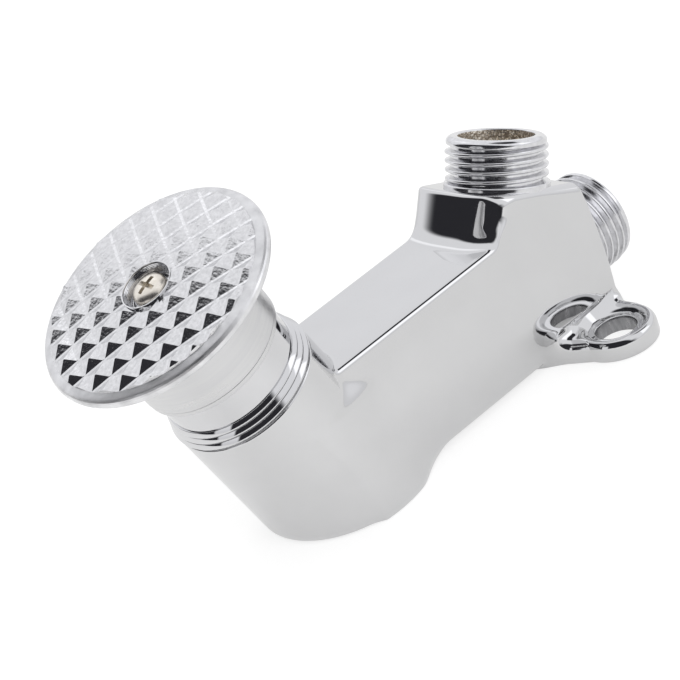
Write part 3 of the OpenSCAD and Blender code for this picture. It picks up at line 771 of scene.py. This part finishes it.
@dataclass
class ThreadedSpigot:
    """A pipe thread with a rounded helical ridge, a collar at its foot and a chamfered lip."""

    name: str
    axis: Axis
    crest_r: float = 10.4775
    root_r: float = 9.3155
    bore_r: float = 7.79
    pitch: float = 1.814
    length: float = 11.4
    start_turn: float = 0.0
    foot: float = 0.0
    collar_r: float = 10.83
    lip_r: float = 10.2
    ridge_foot: float = 9.0
    ridge_half: Pair = (0.86, 0.24)
    ridge_start: float = 1.35
    turns: float = 4.62
    run_out: float = 0.22

    def core(self) -> Piece:
        """The tube that the ridge is wound on."""
        bm = turn([
            (self.bore_r, -0.25), (self.collar_r, -0.25), (self.collar_r, self.foot + 0.8, 0.25),
            (self.root_r, self.foot + 1.05), (self.root_r, 9.55), (self.lip_r, 9.85, 0.12),
            (self.lip_r, 10.75, 0.35), (9.35, self.length, 0.3), (self.bore_r, self.length, 0.2),
        ], 144)
        return to_piece(self.name, bm, self.axis)

    def ridge(self) -> Piece:
        """The thread's ridge, which runs out at both ends."""
        bm = bmesh.new()
        foot, (low, high) = self.ridge_foot, self.ridge_half
        crest = self.crest_r
        section = wire(bm, [(foot, -low), (crest, -high, 0.16), (crest, high, 0.16), (foot, low)])
        bmesh.ops.translate(bm, verts=bm.verts, vec=(0, 0, self.ridge_start))
        swing(bm, 360 * self.start_turn)
        bm.faces.new(in_order(section))
        steps = 444
        wind(bm, self.turns, self.turns * self.pitch / steps, steps)
        for v in bm.verts:
            share = (math.atan2(v.co.y, v.co.x) / math.tau - self.start_turn) % 1.0
            wound = share + round((v.co.z - self.ridge_start) / self.pitch - share)
            left = min(max(wound, 0.0), max(self.turns - wound, 0.0)) / self.run_out
            keep = min(left, 1.0)
            keep = keep * keep * (3 - 2 * keep)
            radius = math.hypot(v.co.x, v.co.y)
            if radius > foot + 0.05:
                aim = foot + 0.02 + (radius - foot - 0.02) * keep
                v.co.x *= aim / radius
                v.co.y *= aim / radius
        bmesh.ops.recalc_face_normals(bm, faces=bm.faces)
        return to_piece("ridge", bm, self.axis)

    def build(self) -> None:
        """Makes the spigot, chromed outside and bare in its bore."""
        spigot = self.core()
        carve(spigot, self.ridge(), Cut.JOIN)
        height, radius = self.axis.heights(face_centres(spigot.data))
        inner = (radius < self.bore_r + 0.1) & (height < self.length - 0.25)
        dress(spigot, 38, (THREAD_CHROME, CAST_BRASS), inner)
        place(spigot, Body.HOUSING, Slot.BODY_CHROME, "valve_body")


@dataclass
class Bonnet:
    """The polished collar with its three stepped rings, the neck above them and the gasket below."""

    ring_radii: tuple[float, float, float] = (15.76, 15.3, 14.9)
    ring_h: float = 1.2
    ring_step: float = 0.85
    gap: float = 0.1
    first_ring: float = 0.5
    neck_r: float = 14.08
    neck_top: float = 17.7

    def build(self) -> None:
        """Turns the bonnet and its gasket."""
        outline = [(6.2, -6.5), (12.65, -6.5), (12.65, self.first_ring)]
        low = self.first_ring
        for radius in self.ring_radii:
            high, step = low + self.ring_h, radius - self.ring_step
            outline += [(radius, low, 0.3), (radius, low + 0.4, 0.35), (radius - 0.6, high, 0.2),
                        (step, high), (step, high + self.gap)]
            low = high + self.gap
        outline[-2:] = [(self.neck_r + 0.12, low - self.gap), (self.neck_r, low - self.gap)]
        outline += [
            (self.neck_r, self.neck_top, 0.3), (10.3, self.neck_top, 0.2), (10.3, 4.5), (6.2, 4.5),
            (6.2, -0.7), (4.3, -0.7), (4.3, -1.5), (6.2, -1.5),
        ]
        collar = to_piece("stepped_collar", turn(outline, 160), PEDAL_AXIS)
        dress(collar, 40, (COLLAR_CHROME,))
        place(collar, Body.HOUSING, Slot.COLLAR_CHROME, "bonnet")
        inner, outer, top = 12.7, 15.1, self.first_ring
        bm = turn([(inner, 0), (outer, 0, 0.1), (outer, top, 0.1), (inner, top)], 128)
        gasket = to_piece("collar_gasket", bm, PEDAL_AXIS)
        dress(gasket, 40, (COLLAR_CHROME,))
        place(gasket, Body.HOUSING, Slot.COLLAR_CHROME, "bonnet_gasket")


@dataclass
class PushCap:
    """The satin sleeve under the tread, with a turned seam at its lower edge."""

    outer_r: float = 15.18
    inner_r: float = 14.38
    low: float = 10.7
    high: float = 27.1
    ceiling: float = 24.1
    hole_r: float = 3.25
    seam: float = 1.0

    def build(self) -> None:
        """Turns the sleeve."""
        seam, band, groove = self.low + self.seam, self.outer_r - 0.1, self.outer_r - 0.28
        bm = turn([
            (self.inner_r, self.low), (band, self.low, 0.15), (band, seam), (groove, seam + 0.08),
            (groove, seam + 0.16), (self.outer_r, seam + 0.24), (self.outer_r, self.high, 0.6),
            (self.hole_r, self.high), (self.hole_r, self.ceiling), (self.inner_r, self.ceiling, 0.4),
        ], 160)
        sleeve = to_piece("satin_sleeve", bm, PEDAL_AXIS)
        dress(sleeve, 35, (SATIN_CHROME,))
        place(sleeve, Body.PEDAL, Slot.SATIN_CAP, "push_cap")


@dataclass
class TreadPlate:
    """The domed plate with two crossing sets of grooves, which leave a field of low pyramids."""

    low: float = 27.1
    rim_h: float = 30.6
    radius: float = 25.0
    edge: float = 1.0
    band_w: float = 1.8
    band_drop: float = 1.45
    tread_r: float = 22.9
    dome: float = 1.5
    pitch: float = 4.82
    grid_turn: float = -35.5
    shifts: Pair = (1.1, -2.2)
    depth: float = 0.8
    tip: float = 0.25
    flat: float = 0.3
    recess_floor: float = 29.1
    recess_r: float = 5.2
    land_r: float = 5.45
    land_h: float = 31.8

    def ball(self) -> Pair:
        """The height of the dome's centre, and the dome's radius."""
        run = self.radius - self.band_w
        size = (run**2 + self.dome**2) / (2 * self.dome)
        return self.rim_h + self.dome - size, size

    def dome_at(self, r: float) -> float:
        """The dome's height at a distance from its middle."""
        centre, size = self.ball()
        return centre + math.sqrt(size**2 - r**2)

    def comb(self, angle: float, shift: float) -> Piece:
        """A row of V-shaped cutters that follow the dome and stop at the land in the middle.

        Args:
            angle: the direction across the grooves, in degrees.
            shift: how far the row is moved that way.

        Returns:
            The cutters as one object.
        """
        bm = bmesh.new()
        centre, size = self.ball()
        half = (self.pitch - self.tip) / 2
        top = centre + size + 1
        for number in range(-7, 7):
            at = (number + 0.5) * self.pitch + shift
            if abs(at) > self.radius + half:
                continue
            low = self.dome_at(at) - self.depth
            corners = [(at - half, self.dome_at(at - half)), (at - self.flat, low), (at + self.flat, low),
                       (at + half, self.dome_at(at + half)), (at + half, top), (at - half, top)]
            bm.faces.new([bm.verts.new((x, 0, z)) for x, z in corners])
        sweep = 2 * math.asin(self.radius / size) + math.radians(4)
        swing(bm, -math.degrees(sweep) / 2, "X", (0, 0, centre))
        bmesh.ops.spin(bm, geom=list(bm.faces), cent=(0, 0, centre), axis=(1, 0, 0), angle=sweep, steps=44)
        bmesh.ops.recalc_face_normals(bm, faces=bm.faces)
        swing(bm, angle)
        comb = to_piece("comb", bm, PEDAL_AXIS)
        bm = turn([(0, 20), (self.land_r, 20), (self.land_r, 40), (0, 40)], 96)
        carve(comb, to_piece("plug", bm, PEDAL_AXIS), Cut.REMOVE)
        return comb

    def outline(self) -> list[Corner]:
        """The plate's half section, with fine turned rings down the recess."""
        corners = [
            (2.3, self.low), (self.radius, self.low, self.edge),
            (self.radius, self.rim_h - self.band_drop, 0.9), (self.tread_r + 0.04, self.rim_h - 0.85, 0.05),
        ]
        land = self.land_r + 0.03
        corners += [(r, self.dome_at(r)) for r in (self.tread_r, 20.5, 18, 15.5, 13, 10.5, 8.2, land)]
        corners += [(land, self.land_h), (self.recess_r, self.land_h, 0.08)]
        for ring in range(15):
            h = self.land_h - 0.25 - 0.15 * ring
            r = self.recess_r - (self.land_h - h) / 5
            corners.append((r + (0.05 if ring % 2 else 0), h))
        return corners + [(4.6, self.recess_floor, 0.2), (2.3, self.recess_floor)]

    def build(self) -> None:
        """Turns the plate and cuts its tread."""
        plate = to_piece("tread_plate", turn(self.outline(), 192), PEDAL_AXIS)
        for number, shift in enumerate(self.shifts):
            carve(plate, self.comb(self.grid_turn + 90 * number, shift), Cut.REMOVE)
        radius = PEDAL_AXIS.heights(face_centres(plate.data))[1]
        dress(plate, 15, (TREAD_CHROME, CAST_RIM), radius > self.tread_r + 0.05)
        place(plate, Body.PEDAL, Slot.TREAD_CHROME, "pedal_plate")


@dataclass
class PedalScrew:
    """The cross-recessed screw in the tread's middle, and the spring washer under its head."""

    seat: float = 29.7
    head_r: float = 3.6
    head_h: float = 2.1
    shaft_r: float = 2.0
    length: float = 12.0
    cross_turn: float = -6.5
    blade: Pair = (2.25, 0.5)
    washer_r: Pair = (2.1, 3.7)

    def cross(self) -> list[Piece]:
        """Two tapered blades that cut the cross recess."""
        blades = []
        for angle in (0, 90):
            bm = bmesh.new()
            top = self.seat + self.head_h + 0.3
            x, y = self.blade
            verts = prism(bm, [(-x, -y, top), (x, -y, top), (x, y, top), (-x, y, top)], (0, 0, -1.65))
            low = [v for v in verts if v.co.z < top - 1]
            bmesh.ops.scale(bm, verts=low, vec=(0.7, 0.7, 1))
            swing(bm, angle + self.cross_turn)
            blades.append(to_piece("blade", bm, PEDAL_AXIS))
        return blades

    def build(self) -> None:
        """Turns the screw, cuts its recess and winds the washer."""
        top, tip = self.seat + self.head_h, self.seat - self.length
        bm = turn([
            (0, top), (1.6, top - 0.06, 0.3), (2.8, top - 0.35, 0.5), (self.head_r, top - 0.95, 0.3),
            (self.head_r, self.seat, 0.15), (self.shaft_r, self.seat), (self.shaft_r, tip, 0.4), (0, tip),
        ], 96)
        screw = to_piece("cross_screw", bm, PEDAL_AXIS)
        for blade in self.cross():
            carve(screw, blade, Cut.REMOVE)
        dress(screw, 30, (NICKEL,))
        place(screw, Body.PEDAL, Slot.NICKEL_SCREW, "pedal_screw")
        bm = bmesh.new()
        low, high = self.seat - 0.58, self.seat - 0.1
        inner, outer = self.washer_r
        ring = wire(bm, [(inner, low), (outer, low, 0.08), (outer, high, 0.08), (inner, high)])
        bm.faces.new(in_order(ring))
        wind(bm, 352 / 360, 0.08 / 80, 80)
        washer = to_piece("split_washer", bm, PEDAL_AXIS)
        dress(washer, 35, (ZINC_STEEL,))
        place(washer, Body.PEDAL, Slot.STEEL_PLATE, "lock_washer")


@dataclass
class ReturnSpring:
    """The wound spring inside the neck, which shortens as the pedal goes down."""

    low: float = 5.3
    high: float = 23.3
    mean_r: float = 8.2
    wire_r: float = 0.7
    coils: float = 6.5
    travel: float = 6.0

    def build(self) -> None:
        """Winds the spring."""
        bm = bmesh.new()
        bmesh.ops.create_circle(bm, cap_ends=True, segments=14, radius=self.wire_r)
        swing(bm, 90, "X")
        bmesh.ops.translate(bm, verts=bm.verts, vec=(self.mean_r, 0, self.low + self.wire_r))
        steps = int(self.coils * 48)
        wind(bm, self.coils, (self.high - self.low - 2 * self.wire_r) / steps, steps)
        spring = to_piece("wound_spring", bm, PEDAL_AXIS)
        dress(spring, 50, (SPRING_STEEL,))
        place(spring, Body.HOUSING, Slot.SPRING_STEEL, "return_spring")
        up = PEDAL_AXIS.up()
        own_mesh(spring)


class HiddenParts:
    """The working parts inside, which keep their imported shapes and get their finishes."""

    def build(self) -> None:
        """Dresses every node that no piece stands for."""
        finishes = {
            "seat_gasket": RUBBER, "seat_ring": TURNED_BRASS, "guide_bush": ACETAL,
            "stem_seal_lower": RUBBER, "seal_spacer": TURNED_BRASS, "stem_seal_upper": RUBBER,
            "spring_seat": ZINC_STEEL, "thrust_washer": ZINC_STEEL, "spindle": TURNED_BRASS,
            "stem_circlip": SPRING_STEEL, "valve_washer": RUBBER, "valve_holder": TURNED_BRASS,
            "washer_screw": TURNED_BRASS,
        }
        for name, finish in finishes.items():
            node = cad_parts[name]
            node.data.materials.clear()
            node.data.materials.append(finish.build())
            LOG.info("%s: %s", name, finish.name)


@dataclass
class Studio:
    """The pale floor, the white room with its dark front wall, the lamps and the camera.

    What polished surfaces mirror is laid out by direction. A pair says where a direction's X, Y or Z
    begins and ends to fade, and a window has one such pair in and one out. Azimuths are in degrees.
    """

    lens: float = 189.1
    stand: Point = (423.2, 498.9, 335.9)
    right: Point = (-0.6668, 0.6814, -0.3020)
    up: Point = (-0.5186, -0.1331, 0.8446)
    back: Point = (0.5353, 0.7197, 0.4421)
    front_wall: Pair = (0.17, 0.33)
    front_way: Pair = (0.983, 0.183)
    wall_shift: float = 0.10
    wall_shift_z: Pair = (0.05, 0.22)
    side_wall: Window = (14, 18, 74, 100)
    side_wall_z: Pair = (0.25, 0.5)
    doorway: Window = (-13, -9, 9, 13)
    doorway_z: Pair = (0.3, 0.5)
    beam_x: Pair = (-0.3, -0.37)
    beam_y: Window = (-0.2, -0.12, 0.3, 0.38)
    beam_z: Pair = (0.66, 0.72)
    window_x: Window = (-0.36, -0.24, -0.16, -0.1)
    window_y: Window = (-0.92, -0.8, -0.6, -0.5)
    window_z: Pair = (0.4, 0.5)
    window_glow: float = 0.32
    strip_x: Pair = (-0.4, -0.46)
    strip_y: Window = (0.38, 0.44, 0.8, 0.9)
    strip_z: Pair = (0.25, 0.35)
    strip_glow: float = 0.55
    horizon_glow: float = 0.86
    horizon_z: Pair = (0.04, 0.2)
    horizon_rise: float = 0.14

    def camera(self) -> None:
        """Sets the camera up as the photograph was taken."""
        camera = bpy.data.cameras.new("camera")
        camera.lens = self.lens
        camera.sensor_width = 36.0
        camera.clip_start, camera.clip_end = 0.01, 20.0
        holder = to_scene("camera", camera)
        turned = Matrix((self.right, self.up, self.back)).transposed().to_4x4()
        holder.matrix_world = Matrix.Translation(Vector(self.stand) * MM) @ turned
        bpy.context.scene.camera = holder

    def floor(self) -> None:
        """Lays a pale floor that keeps a faint shadow, and whose glow in polished surfaces is painted
        brighter towards the pedal end.
        """
        bm = bmesh.new()
        bmesh.ops.create_grid(bm, x_segments=8, y_segments=8, size=3.0)
        floor = to_scene("floor", bpy.data.meshes.new("floor"))
        bm.to_mesh(floor.data)
        bm.free()
        material = bpy.data.materials.new("pale_floor")
        material.use_nodes = True
        bench = NodeBench(material.node_tree)
        plain = bench.add("BsdfDiffuse", {"Color": (0.8, 0.8, 0.8, 1)}).outputs[0]
        # Painted light: the floor's glow that polished surfaces mirror rises from the rear to the pedal end,
        # so the body's rear mirrors a darker floor.
        glow = bench.span(bench.ways("Object")["X"], 0.29, 0.39, (-0.04, 0.06))
        mirrored = self.glowing(bench, 0.6, glow)
        seen = self.glowing(bench, 0.36, 0.72)
        bench.add("OutputMaterial", {"Surface": bench.by_ray(plain, mirrored, seen)})
        floor.data.materials.append(material)

    @staticmethod
    def glowing(bench: NodeBench, dull: float, glow: Socket | float) -> Socket:
        """A floor that takes some shadow and glows a little."""
        lit = bench.add("BsdfDiffuse", {"Color": (dull, dull, dull, 1)})
        own = bench.add("Emission", {"Color": (1, 1, 1, 1), "Strength": glow})
        return bench.add("AddShader", {0: lit.outputs[0], 1: own.outputs[0]}).outputs[0]

    def walls(self, bench: NodeBench) -> Socket:
        """How dark the room is in each direction that a polished surface mirrors."""
        way = bench.ways("Generated")
        azimuth = bench.reckon("ARCTAN2", way["Y"], way["X"])

        def patch(edges: Window, high: Pair) -> Socket:
            """A soft-edged patch between two azimuths, up to a height."""
            share = bench.window(azimuth, tuple(math.radians(e) for e in edges))
            return bench.product(share, bench.reckon("SUBTRACT", 1.0, bench.step(way["Z"], *high)))

        raised = bench.product(bench.step(way["Z"], *self.wall_shift_z), self.wall_shift)
        ahead = bench.product(way["X"], self.front_way[0])
        ahead = bench.reckon("ADD", ahead, bench.product(way["Y"], self.front_way[1]))
        front = bench.step(bench.reckon("SUBTRACT", ahead, raised), *self.front_wall)
        dark = bench.reckon("MAXIMUM", front, patch(self.side_wall, self.side_wall_z))
        open_way = bench.reckon("SUBTRACT", 1.0, patch(self.doorway, self.doorway_z))
        beam = bench.product(bench.step(way["X"], *self.beam_x), bench.step(way["Z"], *self.beam_z),
                             bench.window(way["Y"], self.beam_y))
        return bench.reckon("MAXIMUM", bench.product(dark, open_way), beam)

    def skylight(self, bench: NodeBench) -> Socket:
        """How bright the room is in each direction, with one window overhead and one bright strip."""
        way = bench.ways("Generated")
        share = bench.product(bench.window(way["X"], self.window_x), bench.window(way["Y"], self.window_y),
                              bench.step(way["Z"], *self.window_z))
        strip = bench.product(bench.window(way["Y"], self.strip_y), bench.step(way["X"], *self.strip_x),
                              bench.step(way["Z"], *self.strip_z))
        glow = bench.reckon("MULTIPLY_ADD", share, self.window_glow, self.horizon_glow)
        glow = bench.reckon("ADD", glow, bench.product(strip, self.strip_glow))
        rise = bench.product(bench.step(way["Z"], *self.horizon_z), self.horizon_rise)
        return bench.reckon("ADD", glow, rise)

    def room(self) -> None:
        """Makes the world a white room, whose dark front wall only shows in polished surfaces."""
        world = bpy.data.worlds.new("room")
        bpy.context.scene.world = world
        world.use_nodes = True
        bench = NodeBench(world.node_tree)
        white = bench.add("Background", {"Color": (1, 1, 1, 1), "Strength": 1.0}).outputs[0]
        soft = bench.add("Background", {"Color": (1, 1, 1, 1), "Strength": 0.8}).outputs[0]
        tint = bench.blend(self.walls(bench), (0.97, 0.975, 1), (0.03, 0.03, 0.035))
        mirrored = bench.add("Background", {"Color": tint, "Strength": self.skylight(bench)}).outputs[0]
        bench.add("OutputWorld", {"Surface": bench.by_ray(soft, mirrored, white)})

    def lamps(self) -> None:
        """Hangs one soft lamp on each side."""
        for name, at, power in (("key_lamp", (0.5, 0.9, 1.1), 6.0), ("fill_lamp", (-0.9, -0.6, 0.9), 3.0)):
            lamp = bpy.data.lights.new(name, "AREA")
            lamp.shape = "DISK"
            lamp.size = 0.8
            lamp.energy = power
            holder = to_scene(name, lamp)
            holder.visible_glossy = False
            way = Vector(at) - Vector((0.04, 0, 0.03))
            holder.matrix_world = Matrix.Translation(at) @ way.to_track_quat("Z", "Y").to_matrix().to_4x4()

    def build(self) -> None:
        """Sets up everything round the part."""
        self.camera()
        self.floor()
        self.room()
        self.lamps()
        bpy.context.scene.view_settings.view_transform = "Standard"
        LOG.info("studio: floor, room, lamps and camera")


def main() -> None:
    """Builds the valve's looks piece by piece."""
    logging.basicConfig(level=logging.INFO, format="%(name)s: %(message)s")
    Studio().build()
    Casting().build()
    ThreadedSpigot("outlet_spigot", OUTLET_AXIS, start_turn=0.1, foot=1.2).build()
    ThreadedSpigot("inlet_spigot", INLET_AXIS, start_turn=0.4).build()
    Bonnet().build()
    PushCap().build()
    TreadPlate().build()
    PedalScrew().build()
    ReturnSpring().build()
    HiddenParts().build()


if __name__ == "__main__":
    main()
